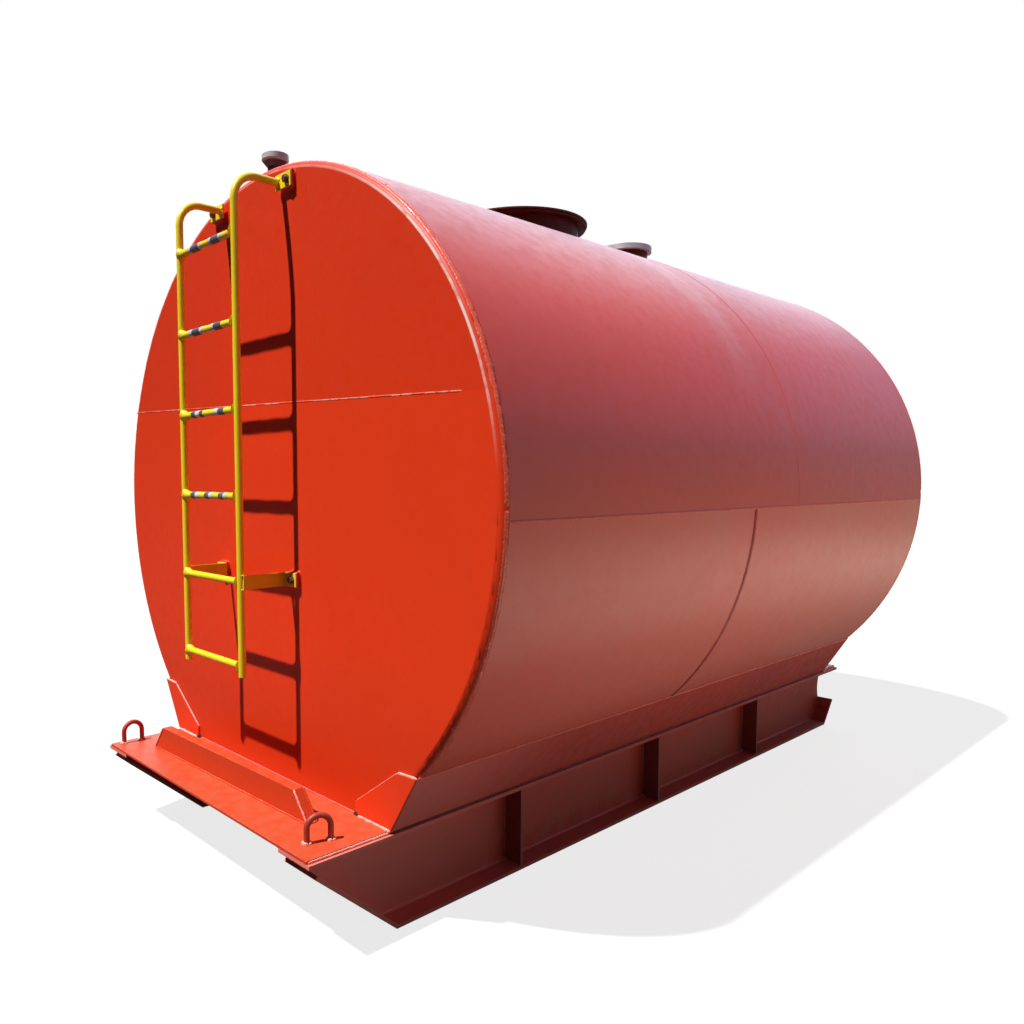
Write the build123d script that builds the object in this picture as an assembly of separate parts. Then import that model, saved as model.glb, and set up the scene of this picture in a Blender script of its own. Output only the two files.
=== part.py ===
from build123d import *
from math import asin, atan2, cos, degrees, radians, sin, tan
import os

# Horizontal skid tank, millimetres, +Z up.
# Y runs along the tank: the ladder end is at -Y. X = 0 is the tank axis and Z = 0 is the ground.

# Fits: small gap between curved faces that are welded together, and how far a cutter runs past its cut
contact_gap = 0.3
overrun = 20.0

# Tank body
tank_radius = 1200.0
tank_length = 3326.0
shell_plate = 6.0
head_plate = 8.0
head_knuckle = 24.0
head_edge = 27.0
upper_girth_seam = 1824.0
lower_girth_seam = 1449.0
side_seam_drop = 38.0
head_seam_height = 359.0
head_seam_tilt = 1.9

# Skid beams: rolled I-sections under the tank, the tank resting on the inner edges of their top flanges
seat_angle = 28.58
beam_depth = 317.0
beam_width = 167.0
beam_web = 7.6
beam_flange = 13.2
beam_root = 9.0
front_overhang = 326.0
rear_overhang = 168.0
front_nose_setback = 14.0
front_nose_run = 319.0
front_nose_rise = 269.0
rear_nose_outset = 14.0
rear_nose_run = 105.0
rear_nose_rise = 126.0
rear_cope_margin = 24.0
cope_bow_share = 0.16

# Web stiffeners and cross members
stiffener_plate = 10.0
stiffener_setback = 626.0
stiffener_pitch = 931.0
stiffener_count = 3
stiffener_snipe = 16.0
cross_depth = 100.0
cross_width = 60.0
cross_wall = 6.0

# Cradle side plates and the gussets across their ends
cradle_angle = 45.6
cradle_plate = 8.0
cradle_inset = 13.0
gusset_plate = 8.0
gusset_lap = 60.0
gusset_top_angle = 3.4
gusset_foot_angle = 0.6
gusset_notch_radius = 12.0

# Deck plates
deck_plate = 10.0
deck_inset = 15.0

# Step bar on the front deck: a folded hat with sloping ends, set a little askew
step_centre = -27.0
step_length = 1084.0
step_height = 96.0
step_depth = 38.0
step_standoff = 150.0
step_wall = 6.0
step_end_run = 76.0
step_turn_angle = 1.4

# Lifting lugs: round bar bent to a loop; the right-hand ones sit further in and turn across the corner
lug_bar = 19.0
lug_width = 98.0
lug_height = 94.0
right_lug_setback = 108.0
right_lug_inset = 18.0
right_lug_turn_angle = 17.0
left_lug_setback = 84.0
left_lug_outset = 40.0

# Ladder
ladder_centre = -47.0
ladder_width = 404.0
ladder_standoff = 196.0
rail_tube = 27.0
rail_wall = 3.0
rail_bend = 88.0
rail_drop = 82.0
rail_tail = 38.0
rung_bar = 25.0
rung_count = 6
rung_pitch = 300.0
top_rung_drop = 197.0
foot_plate = 6.0
foot_height = 52.0
foot_reach = 81.0
stay_height = 50.0
stay_plate = 6.0
stay_drop = 281.0
pad_plate = 15.0
pad_width = 58.0
pad_height = 56.0

# Manhole on the top centre line
manhole_place = 1404.0
manhole_neck = 610.0
manhole_wall = 8.0
manhole_rise = 56.0
manhole_ring = 680.0
manhole_ring_plate = 10.0
manhole_cover = 692.0
manhole_cover_plate = 8.0

# Second nozzle with a thick lid
nozzle_place = 2332.0
nozzle_neck = 240.0
nozzle_wall = 8.0
nozzle_rise = 106.0
nozzle_lid = 284.0
nozzle_lid_plate = 28.0

# Vent: a nipple with a mushroom cap, coned underneath and domed on top
vent_place = 136.0
vent_offset = -100.0
vent_nipple = 60.0
vent_wall = 5.0
vent_rise = 76.0
vent_cap = 104.0
vent_cone = 26.0
vent_rim = 20.0
vent_dome = 16.0

# Worked out from the sizes above
total_length = front_overhang + tank_length + rear_overhang
front_end = -total_length / 2
rear_end = total_length / 2
front_face = front_end + front_overhang
rear_face = rear_end - rear_overhang
seat_radius = tank_radius + contact_gap
seat_drop = seat_radius * cos(radians(seat_angle))
axis_height = beam_depth + seat_drop
beam_inner = seat_radius * sin(radians(seat_angle))
beam_centre = beam_inner + beam_width / 2
beam_outer = beam_inner + beam_width
flange_under = beam_depth - beam_flange
deck_top = beam_depth + deck_plate
side_seam_angle = degrees(asin(side_seam_drop / tank_radius))


def sweep_along_y(outline, y_start, y_end):
    """Carry a closed outline of (X, Z) points along Y."""
    plane = Plane(origin=(0, y_start, 0), x_dir=(1, 0, 0), z_dir=(0, -1, 0))
    face = make_face(Polyline(*outline, close=True))
    return extrude(plane * face, amount=y_start - y_end)


def sweep_along_x(face, x_start, x_end):
    """Carry a face drawn in (Y, Z) along X."""
    plane = Plane(origin=(x_start, 0, 0), x_dir=(0, 1, 0), z_dir=(1, 0, 0))
    return extrude(plane * face, amount=x_end - x_start)


def block(x_start, x_end, y_start, y_end, z_start, z_end):
    """A plate or bar from its limits along X, Y and Z."""
    middle = ((x_start + x_end) / 2, (y_start + y_end) / 2, (z_start + z_end) / 2)
    return Pos(*middle) * Box(abs(x_end - x_start), abs(y_end - y_start), abs(z_end - z_start))


def level_cylinder(x_centre, z_centre, radius, y_start, y_end):
    """A solid cylinder lying along Y."""
    plane = Plane(origin=(x_centre, y_start, z_centre), x_dir=(1, 0, 0), z_dir=(0, -1, 0))
    return extrude(plane * Circle(radius), amount=y_start - y_end)


def axis_cylinder(radius, y_start, y_end):
    """A solid cylinder on the tank axis."""
    return level_cylinder(0, axis_height, radius, y_start, y_end)


def upright_cylinder(x_centre, y_centre, radius, z_start, z_end):
    """A solid cylinder standing on end."""
    plane = Plane(origin=(x_centre, y_centre, z_start))
    return extrude(plane * Circle(radius), amount=z_end - z_start)


def left_of(piece):
    """The same piece on the other side of the tank."""
    return mirror(piece, about=Plane.YZ)


def shell_sector(start_angle, sweep_angle, y_start, y_end):
    """One rolled shell plate between two angles measured from +X."""
    outer = CenterArc((0, 0), tank_radius, start_angle, sweep_angle)
    inner = CenterArc((0, 0), tank_radius - shell_plate, start_angle, sweep_angle)
    edges = [outer, Line(outer @ 1, inner @ 1), inner, Line(inner @ 0, outer @ 0)]
    plane = Plane(origin=(0, y_start, axis_height), x_dir=(1, 0, 0), z_dir=(0, -1, 0))
    return extrude(plane * make_face(edges), amount=y_start - y_end)


def branch_hole(x_centre, y_centre, outer_diameter):
    """The hole in the shell that a neck stands in."""
    radius = outer_diameter / 2 + contact_gap
    return upright_cylinder(x_centre, y_centre, radius, axis_height, axis_height + tank_radius + overrun)


def build_shell():
    """Four rolled plates: the girth seams of the upper and lower halves are staggered."""
    start = front_face + head_edge
    finish = rear_face - head_edge
    upper_joint = front_face + upper_girth_seam
    lower_joint = front_face + lower_girth_seam
    upper_from = -side_seam_angle
    upper_sweep = 180 + 2 * side_seam_angle
    lower_from = 180 + side_seam_angle
    lower_sweep = 180 - 2 * side_seam_angle
    upper_front = shell_sector(upper_from, upper_sweep, start, upper_joint)
    upper_front -= branch_hole(0, front_face + manhole_place, manhole_neck)
    upper_front -= branch_hole(vent_offset, front_face + vent_place, vent_nipple)
    upper_rear = shell_sector(upper_from, upper_sweep, upper_joint, finish)
    upper_rear -= branch_hole(0, front_face + nozzle_place, nozzle_neck)
    return {
        "shell_upper_front": upper_front,
        "shell_upper_rear": upper_rear,
        "shell_lower_front": shell_sector(lower_from, lower_sweep, start, lower_joint),
        "shell_lower_rear": shell_sector(lower_from, lower_sweep, lower_joint, finish),
    }


def flanged_head():
    """Front head: a flat plate with a tight knuckle turned back to meet the end of the shell."""
    knuckle_inside = head_knuckle - head_plate
    flat = tank_radius - head_knuckle
    wall = tank_radius - head_plate
    middle_share = sin(radians(45))
    outer_mid = (flat + head_knuckle * middle_share, head_knuckle * (1 - middle_share))
    inner_mid = (flat + knuckle_inside * middle_share, head_knuckle - knuckle_inside * middle_share)
    edges = [
        Line((0, 0), (flat, 0)),
        ThreePointArc((flat, 0), outer_mid, (tank_radius, head_knuckle)),
        Line((tank_radius, head_knuckle), (tank_radius, head_edge)),
        Line((tank_radius, head_edge), (wall, head_edge)),
        Line((wall, head_edge), (wall, head_knuckle)),
        ThreePointArc((wall, head_knuckle), inner_mid, (flat, head_plate)),
        Line((flat, head_plate), (0, head_plate)),
        Line((0, head_plate), (0, 0)),
    ]
    return revolve(make_face(edges), axis=Axis.Y)


def build_heads():
    """Each head is two plates with a seam above the middle, a little out of level."""
    tilt = radians(head_seam_tilt)
    seam = Plane(origin=(0, 0, head_seam_height), z_dir=(sin(tilt), 0, cos(tilt)))
    front = flanged_head()
    rear = mirror(front, about=Plane.XZ)
    pieces = {}
    for end, head, y_place in (("front", front, front_face), ("rear", rear, rear_face)):
        place = Pos(0, y_place, axis_height)
        pieces[f"{end}_head_upper"] = place * split(head, bisect_by=seam, keep=Keep.TOP)
        pieces[f"{end}_head_lower"] = place * split(head, bisect_by=seam, keep=Keep.BOTTOM)
    return pieces


def nose_points(foot_y, run, rise, toward):
    """Corners of a nose plate bent up from the bottom flange; toward is -1 at the front and 1 at the rear."""
    slope = atan2(rise, run)
    foot = (foot_y, 0)
    tip = (foot_y + toward * run, rise)
    tip_inner = (tip[0] - toward * beam_flange * sin(slope), tip[1] + beam_flange * cos(slope))
    foot_inner = (foot_y - toward * beam_flange * tan(slope / 2), beam_flange)
    return foot, tip, tip_inner, foot_inner


front_nose = nose_points(front_face + front_nose_setback, front_nose_run, front_nose_rise, -1)
rear_nose = nose_points(rear_face + rear_nose_outset, rear_nose_run, rear_nose_rise, 1)


def beam_section():
    """I-section with root fillets, drawn about its own centre line."""
    half_width = beam_width / 2
    half_web = beam_web / 2
    outline = [
        (-half_width, 0), (half_width, 0), (half_width, beam_flange), (half_web, beam_flange),
        (half_web, flange_under), (half_width, flange_under), (half_width, beam_depth),
        (-half_width, beam_depth), (-half_width, flange_under), (-half_web, flange_under),
        (-half_web, beam_flange), (-half_width, beam_flange),
    ]
    face = make_face(Polyline(*outline, close=True))
    roots = [v for v in face.vertices() if abs(abs(v.X) - half_web) < contact_gap]
    return fillet(roots, radius=beam_root)


def front_cut():
    """What is taken off the front of a beam below its top flange."""
    foot, tip, tip_inner, foot_inner = front_nose
    clear_y = front_end - overrun
    points = [
        foot_inner, foot, (foot[0], -overrun), (clear_y, -overrun), (clear_y, flange_under),
        (tip_inner[0], flange_under), tip_inner,
    ]
    return make_face(Polyline(*points, close=True))


def rear_cut():
    """What is taken off the rear of a beam: the short nose, then a bowed cope up to the flange."""
    foot, tip, tip_inner, foot_inner = rear_nose
    clear_y = rear_end + overrun
    cope_top = (rear_end - rear_cope_margin, flange_under)
    run = cope_top[0] - tip_inner[0]
    rise = cope_top[1] - tip_inner[1]
    bow_y = (tip_inner[0] + cope_top[0]) / 2 - rise * cope_bow_share
    bow_z = (tip_inner[1] + cope_top[1]) / 2 + run * cope_bow_share
    points = [
        cope_top, (clear_y, flange_under), (clear_y, -overrun), (foot[0], -overrun),
        foot, foot_inner, tip_inner,
    ]
    outline = Polyline(*points)
    return make_face([outline, ThreePointArc(tip_inner, (bow_y, bow_z), cope_top)])


def build_beams():
    plane = Plane(origin=(beam_centre, front_end, 0), x_dir=(1, 0, 0), z_dir=(0, -1, 0))
    beam = extrude(plane * beam_section(), amount=front_end - rear_end)
    for cut in (front_cut(), rear_cut()):
        beam -= sweep_along_x(cut, beam_inner - overrun, beam_outer + overrun)
    front_plate = sweep_along_x(make_face(Polyline(*front_nose, close=True)), beam_inner, beam_outer)
    rear_plate = sweep_along_x(make_face(Polyline(*rear_nose, close=True)), beam_inner, beam_outer)
    right_pieces = {"skid_beam": beam, "front_nose_plate": front_plate, "rear_nose_plate": rear_plate}
    pieces = {}
    for name, piece in right_pieces.items():
        pieces[f"right_{name}"] = piece
        pieces[f"left_{name}"] = left_of(piece)
    return pieces


def build_stiffeners():
    """Plates across the outer side of each web, sniped clear of the root fillets."""
    inner = beam_centre + beam_web / 2
    low = beam_flange
    high = flange_under
    snipe = stiffener_snipe
    outline = [
        (inner + snipe, low), (beam_outer, low), (beam_outer, high), (inner + snipe, high),
        (inner, high - snipe), (inner, low + snipe),
    ]
    plates = []
    for index in range(stiffener_count):
        y_start = front_face + stiffener_setback + index * stiffener_pitch - stiffener_plate / 2
        plates.append(sweep_along_y(outline, y_start, y_start + stiffener_plate))
    return {
        "right_web_stiffeners": Compound(children=plates),
        "left_web_stiffeners": Compound(children=[left_of(plate) for plate in plates]),
    }


def build_cross_members():
    """Channels between the webs, under the tank at the first and last stiffeners."""
    reach = beam_centre - beam_web / 2
    low = beam_flange + beam_root
    high = low + cross_depth
    pieces = {}
    last = stiffener_setback + (stiffener_count - 1) * stiffener_pitch
    for end, y_place, toward in (("front", stiffener_setback, 1), ("rear", last, -1)):
        y_back = front_face + y_place
        y_open = y_back + toward * cross_width
        channel = block(-reach, reach, y_back, y_open, low, high)
        clear = reach + overrun
        inside_y = y_back + toward * cross_wall
        past_y = y_open + toward * overrun
        channel -= block(-clear, clear, inside_y, past_y, low + cross_wall, high - cross_wall)
        pieces[f"{end}_cross_member"] = channel
    return pieces


cradle_foot = (beam_outer - cradle_inset, beam_depth)
cradle_top = (
    seat_radius * sin(radians(cradle_angle)),
    axis_height - seat_radius * cos(radians(cradle_angle)),
)


def build_cradle_plates():
    """Sloping plate from the flange up to the shell, trimmed to the shell's curve."""
    run = cradle_top[0] - cradle_foot[0]
    rise = cradle_top[1] - cradle_foot[1]
    slope = atan2(rise, run)
    foot_width = cradle_plate / sin(slope)
    inner_foot = (cradle_foot[0] - foot_width, cradle_foot[1])
    inner_top = (cradle_top[0] - foot_width, cradle_top[1])
    outline = [cradle_foot, cradle_top, inner_top, inner_foot]
    plate = sweep_along_y(outline, front_face, rear_face)
    plate -= axis_cylinder(seat_radius, front_face - overrun, rear_face + overrun)
    return {"right_cradle_plate": plate, "left_cradle_plate": left_of(plate)}


def gusset(y_start, y_end):
    """End plate of the right-hand cradle, lapped on the head, with a round drain notch at its inner foot."""
    lap_radius = tank_radius - gusset_lap
    upper = radians(cradle_angle - gusset_top_angle)
    lower = radians(seat_angle + gusset_foot_angle)
    upper_point = (lap_radius * sin(upper), axis_height - lap_radius * cos(upper))
    lower_point = (lap_radius * sin(lower), axis_height - lap_radius * cos(lower))
    foot_share = (deck_top - cradle_foot[1]) / (cradle_top[1] - cradle_foot[1])
    outer_foot = (cradle_foot[0] + foot_share * (cradle_top[0] - cradle_foot[0]), deck_top)
    inner_foot = (lower_point[0], deck_top)
    plate = sweep_along_y([outer_foot, cradle_top, upper_point, lower_point, inner_foot], y_start, y_end)
    notch = level_cylinder(
        inner_foot[0], deck_top, gusset_notch_radius, y_start - overrun, y_end + overrun
    )
    return plate - notch


def build_gussets():
    front = gusset(front_face - gusset_plate, front_face)
    rear = gusset(rear_face, rear_face + gusset_plate)
    return {
        "front_right_gusset": front,
        "front_left_gusset": left_of(front),
        "rear_right_gusset": rear,
        "rear_left_gusset": left_of(rear),
    }


def build_decks():
    half_width = beam_outer - deck_inset
    return {
        "front_deck": block(-half_width, half_width, front_end, front_face, beam_depth, deck_top),
        "rear_deck": block(-half_width, half_width, rear_face, rear_end, beam_depth, deck_top),
    }


def hat_outline(length, end_run, low, high):
    """Trapezium of the step bar as seen from the front."""
    half = length / 2
    return [(-half, low), (half, low), (half - end_run, high), (-half + end_run, high)]


def build_step():
    """Folded hat bar with sloping ends, open underneath."""
    y_centre = front_face - step_standoff - step_depth / 2
    half_depth = step_depth / 2
    half_hollow = half_depth - step_wall
    top = deck_top + step_height
    slope = atan2(step_height, step_end_run)
    outer = sweep_along_y(hat_outline(step_length, step_end_run, deck_top, top), -half_depth, half_depth)
    inner_top = top - step_wall
    inner_length = step_length - 2 * step_wall / sin(slope)
    inner_run = step_end_run * (step_height - step_wall) / step_height
    hollow = sweep_along_y(
        hat_outline(inner_length, inner_run, deck_top, inner_top), -half_hollow, half_hollow
    )
    return {"deck_step": Pos(step_centre, y_centre, 0) * Rot(0, 0, step_turn_angle) * (outer - hollow)}


def lifting_lug():
    """Round bar bent to a loop in the plane of Y and Z, both feet on the deck."""
    bend = (lug_width - lug_bar) / 2
    leg_top = deck_top + lug_height - lug_bar / 2 - bend
    feet = [(0, -bend, deck_top), (0, bend, deck_top)]
    shoulders = [(0, -bend, leg_top), (0, bend, leg_top)]
    crown = (0, 0, leg_top + bend)
    path = Wire([
        Line(feet[0], shoulders[0]).edge(),
        ThreePointArc(shoulders[0], crown, shoulders[1]).edge(),
        Line(shoulders[1], feet[1]).edge(),
    ])
    return sweep(Plane(origin=feet[0]) * Circle(lug_bar / 2), path=path)


def build_lugs():
    """One lug near each corner of the decks, over the beams; the rear pair mirrors the front pair."""
    loop = lifting_lug()
    right_place = Pos(beam_centre - right_lug_inset, front_end + right_lug_setback, 0)
    right = right_place * Rot(0, 0, -right_lug_turn_angle) * loop
    left = Pos(-beam_centre - left_lug_outset, front_end + left_lug_setback, 0) * loop
    return {
        "front_right_lifting_lug": right,
        "front_left_lifting_lug": left,
        "rear_right_lifting_lug": mirror(right, about=Plane.XZ),
        "rear_left_lifting_lug": mirror(left, about=Plane.XZ),
    }


ladder_y = front_face - ladder_standoff
rail_places = {"left": ladder_centre - ladder_width / 2, "right": ladder_centre + ladder_width / 2}
rail_crown = axis_height + tank_radius - rail_drop
top_rung = rail_crown - top_rung_drop
rail_foot = top_rung - (rung_count - 1) * rung_pitch - rail_tail
pad_face = front_face - pad_plate


def ladder_rail(x_place):
    """Tube that stands clear of the head and bends back at the top to its foot plate."""
    bend_from = rail_crown - rail_bend
    bend_mid_share = sin(radians(45))
    middle = (x_place, ladder_y + rail_bend * (1 - bend_mid_share), bend_from + rail_bend * bend_mid_share)
    foot = (x_place, ladder_y, rail_foot)
    shoulder = (x_place, ladder_y, bend_from)
    crown = (x_place, ladder_y + rail_bend, rail_crown)
    finish = (x_place, pad_face - foot_plate, rail_crown)
    path = Wire([
        Line(foot, shoulder).edge(),
        ThreePointArc(shoulder, middle, crown).edge(),
        Line(crown, finish).edge(),
    ])
    section = Circle(rail_tube / 2) - Circle(rail_tube / 2 - rail_wall)
    return sweep(Plane(origin=foot) * section, path=path)


def ladder_rungs():
    """Round bars coped to the rails."""
    x_from = rail_places["left"]
    x_to = rail_places["right"]
    seats = []
    for x_place in (x_from, x_to):
        seats.append(
            upright_cylinder(x_place, ladder_y, rail_tube / 2 + contact_gap, rail_foot - overrun, rail_crown)
        )
    bars = []
    for index in range(rung_count):
        height = top_rung - index * rung_pitch
        plane = Plane(origin=(x_from, ladder_y, height), x_dir=(0, 1, 0), z_dir=(1, 0, 0))
        bar = extrude(plane * Circle(rung_bar / 2), amount=x_to - x_from)
        bars.append(bar - seats[0] - seats[1])
    return Compound(children=bars)


def rail_foot_plate(x_rail, outward):
    """Plate across the end of a rail, running outboard over its pad."""
    x_inner = x_rail - outward * rail_tube / 2
    x_outer = x_rail + outward * foot_reach
    low = rail_crown - foot_height / 2
    return block(x_inner, x_outer, pad_face - foot_plate, pad_face, low, low + foot_height)


def bent_stay(x_rail, outward):
    """Flat bar beside a rail, its end bent outboard over its pad."""
    x_face = x_rail + outward * (rail_tube / 2 + contact_gap)
    x_leg = x_face + outward * stay_plate
    x_outer = x_rail + outward * foot_reach
    low = axis_height - stay_drop - stay_height / 2
    high = low + stay_height
    leg = block(x_face, x_leg, ladder_y, pad_face, low, high)
    return leg + block(x_face, x_outer, pad_face - stay_plate, pad_face, low, high)


def head_pad(x_rail, outward, z_middle):
    """Thick pad welded on the head under a ladder foot."""
    x_outer = x_rail + outward * foot_reach
    low = z_middle - pad_height / 2
    return block(x_outer - outward * pad_width, x_outer, pad_face, front_face, low, low + pad_height)


def build_ladder():
    pieces = {"ladder_rungs": ladder_rungs()}
    for side, outward in (("left", -1), ("right", 1)):
        x_rail = rail_places[side]
        pieces[f"{side}_ladder_rail"] = ladder_rail(x_rail)
        pieces[f"{side}_ladder_foot_plate"] = rail_foot_plate(x_rail, outward)
        pieces[f"{side}_ladder_stay"] = bent_stay(x_rail, outward)
        pieces[f"{side}_upper_head_pad"] = head_pad(x_rail, outward, rail_crown)
        pieces[f"{side}_lower_head_pad"] = head_pad(x_rail, outward, axis_height - stay_drop)
    return pieces


def pipe_neck(x_centre, y_centre, outer_diameter, wall, top):
    """Open neck let into the shell and trimmed to its inner face."""
    radius = outer_diameter / 2
    neck = upright_cylinder(x_centre, y_centre, radius, axis_height, top)
    neck -= upright_cylinder(x_centre, y_centre, radius - wall, axis_height - overrun, top + overrun)
    return neck - axis_cylinder(tank_radius - shell_plate, front_face, rear_face)


def build_manhole():
    y_place = front_face + manhole_place
    neck_top = axis_height + tank_radius + manhole_rise
    ring_under = neck_top - manhole_ring_plate
    ring = upright_cylinder(0, y_place, manhole_ring / 2, ring_under, neck_top)
    ring -= upright_cylinder(
        0, y_place, manhole_neck / 2 + contact_gap, ring_under - overrun, neck_top + overrun
    )
    cover = upright_cylinder(0, y_place, manhole_cover / 2, neck_top, neck_top + manhole_cover_plate)
    return {
        "manhole_neck": pipe_neck(0, y_place, manhole_neck, manhole_wall, neck_top),
        "manhole_ring": ring,
        "manhole_cover": cover,
    }


def build_nozzle():
    y_place = front_face + nozzle_place
    neck_top = axis_height + tank_radius + nozzle_rise
    lid = upright_cylinder(0, y_place, nozzle_lid / 2, neck_top, neck_top + nozzle_lid_plate)
    return {
        "nozzle_neck": pipe_neck(0, y_place, nozzle_neck, nozzle_wall, neck_top),
        "nozzle_lid": lid,
    }


def build_vent():
    """Nipple under a hollow cap whose coned wall widens to the rim; the dome closes the top."""
    y_place = front_face + vent_place
    nipple_top = axis_height + tank_radius + vent_rise
    rim_foot = nipple_top + vent_cone
    rim_top = rim_foot + vent_rim
    crown = rim_top + vent_dome
    outer = vent_cap / 2
    seat = vent_nipple / 2
    dome_radius = (outer ** 2 + vent_dome ** 2) / (2 * vent_dome)
    half_angle = asin(outer / dome_radius) / 2
    dome_mid = (dome_radius * sin(half_angle), crown - dome_radius * (1 - cos(half_angle)))
    edges = [
        Line((seat - vent_wall, nipple_top), (seat, nipple_top)),
        Line((seat, nipple_top), (outer, rim_foot)),
        Line((outer, rim_foot), (outer, rim_top)),
        ThreePointArc((outer, rim_top), dome_mid, (0, crown)),
        Line((0, crown), (0, rim_foot)),
        Line((0, rim_foot), (outer - vent_wall, rim_foot)),
        Line((outer - vent_wall, rim_foot), (seat - vent_wall, nipple_top)),
    ]
    profile = Plane.XZ * make_face(edges)
    cap = Pos(vent_offset, y_place, 0) * revolve(profile, axis=Axis.Z)
    return {
        "vent_nipple": pipe_neck(vent_offset, y_place, vent_nipple, vent_wall, nipple_top),
        "vent_cap": cap,
    }


def build_all():
    groups = (
        build_shell, build_heads, build_beams, build_stiffeners, build_cross_members, build_cradle_plates,
        build_gussets, build_decks, build_step, build_lugs, build_ladder, build_manhole, build_nozzle,
        build_vent,
    )
    pieces = {}
    for group in groups:
        pieces.update(group())
    return pieces


os.makedirs("parts", exist_ok=True)
for node_name, solid in build_all().items():
    export_step(solid, f"parts/{node_name}.step")
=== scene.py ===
import math
import bpy
from mathutils import Matrix, Vector, noise


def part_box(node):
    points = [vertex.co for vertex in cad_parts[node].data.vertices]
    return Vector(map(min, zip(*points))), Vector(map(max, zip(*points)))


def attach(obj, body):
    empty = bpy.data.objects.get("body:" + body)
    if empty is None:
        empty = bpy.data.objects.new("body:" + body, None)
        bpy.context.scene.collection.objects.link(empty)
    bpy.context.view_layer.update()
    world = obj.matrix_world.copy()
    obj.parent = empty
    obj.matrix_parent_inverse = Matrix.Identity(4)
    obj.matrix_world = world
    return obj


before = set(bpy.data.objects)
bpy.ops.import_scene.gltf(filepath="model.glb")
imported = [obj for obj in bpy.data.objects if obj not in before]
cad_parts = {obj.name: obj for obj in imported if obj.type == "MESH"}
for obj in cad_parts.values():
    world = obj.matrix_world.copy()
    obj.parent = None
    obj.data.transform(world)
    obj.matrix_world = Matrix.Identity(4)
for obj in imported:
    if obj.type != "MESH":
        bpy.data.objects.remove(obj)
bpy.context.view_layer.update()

# Sizes read from the frame, in metres
shell_low, shell_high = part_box("shell_upper_front")
tank_radius = shell_high.x
axis_z = shell_high.z - tank_radius
front_rim_y = shell_low.y
upper_girth_y = shell_high.y
rear_rim_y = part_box("shell_upper_rear")[1].y
lower_girth_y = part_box("shell_lower_front")[1].y
side_seam_angle = math.asin((axis_z - shell_low.z) / tank_radius)
front_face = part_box("front_head_lower")[0].y
rear_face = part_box("rear_head_lower")[1].y
beam_low, beam_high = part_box("right_skid_beam")
beam_centre = (beam_low.x + beam_high.x) / 2
deck_boxes = (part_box("front_deck"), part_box("rear_deck"))
deck_top = deck_boxes[0][1].z
cradle_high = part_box("right_cradle_plate")[1]
step_low, step_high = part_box("deck_step")
rung_low, rung_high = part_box("ladder_rungs")
ladder_y = (rung_low.y + rung_high.y) / 2
rung_radius = (rung_high.y - rung_low.y) / 2
vent_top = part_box("vent_cap")[1].z

# Sizes that the boxes of the nodes do not give
head_knuckle = 0.024
head_seam_height = 0.359
head_seam_tilt = math.radians(1.9)
beam_web = 0.0076
beam_flange = 0.0132
cradle_inset = 0.013
gusset_lap_radius = 1.14
gusset_upper_angle = math.radians(42.2)
gusset_lower_angle = math.radians(29.18)
gusset_plate = 0.008
gusset_notch = 0.012
stiffener_count = 3
stiffener_half = 0.005
stiffener_snipe = 0.016
step_half_length = 0.542
step_half_depth = 0.019
step_end_run = 0.076
step_turn = math.radians(1.4)
lug_bar = 0.019
lug_half_span = 0.0395
right_lug_turn = math.radians(17.0)
rung_count = 6
vent_cap_crown = 0.042

# Each end of the tank, with the direction that its head faces along Y
tank_ends = ((front_face, -1), (rear_face, 1))

# Weld beads: width and height
bead_sizes = {
    "rim": (0.018, 0.0045),
    "lower_girth": (0.020, 0.004),
    "upper_girth": (0.010, 0.0011),
    "plate_seam": (0.008, 0.002),
    "head_seam": (0.006, 0.0007),
    "head_seam_pale": (0.0042, 0.0013),
    "cradle_top": (0.009, 0.004),
    "cradle_foot": (0.020, 0.008),
    "cradle_joint": (0.009, 0.0016),
    "gusset_lap": (0.004, 0.002),
    "gusset_edge": (0.010, 0.006),
    "deck_edge": (0.008, 0.0035),
    "deck_head": (0.010, 0.005),
    "step_side": (0.009, 0.005),
    "step_slope": (0.008, 0.0035),
    "step_toe": (0.010, 0.005),
    "lug": (0.014, 0.008),
    "stiffener": (0.008, 0.0045),
    "nose": (0.011, 0.006),
    "manhole": (0.014, 0.007),
    "nozzle": (0.012, 0.006),
    "vent": (0.010, 0.005),
    "ladder_foot": (0.010, 0.005),
    "ladder_stay": (0.009, 0.005),
    "ladder_pad": (0.010, 0.005),
}

# How a weld bead varies along its length
bead_pitch = 0.008
fine_bead_pitch = 0.006
bead_sides = 8
bead_roughness = 0.18
ripple_base = 0.86
ripple_rise = 0.28
wander_scale = 45.0
swell_scale = 160.0
end_width = 0.35
taper_step = 0.3

# Sides of the turned forms
turned_sides = 20

# Colours that lie over the paints: dirt, dusting and wear, and also painted highlights, sheen and light
splash_colour = (0.36, 0.24, 0.18)
rubbed_and_highlight_colour = (0.78, 0.42, 0.34)
rim_highlight_colour = (0.90, 0.66, 0.58)
glint_band_colour = (0.74, 0.42, 0.42)
sky_sheen_colour = (0.42, 0.21, 0.30)
seam_brown_colour = (0.42, 0.125, 0.090)
nose_light_colour = (0.95, 0.24, 0.19)
sand_and_bounce_colour = (0.62, 0.40, 0.31)
cap_pale_sheen_colour = (0.58, 0.53, 0.52)


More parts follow.
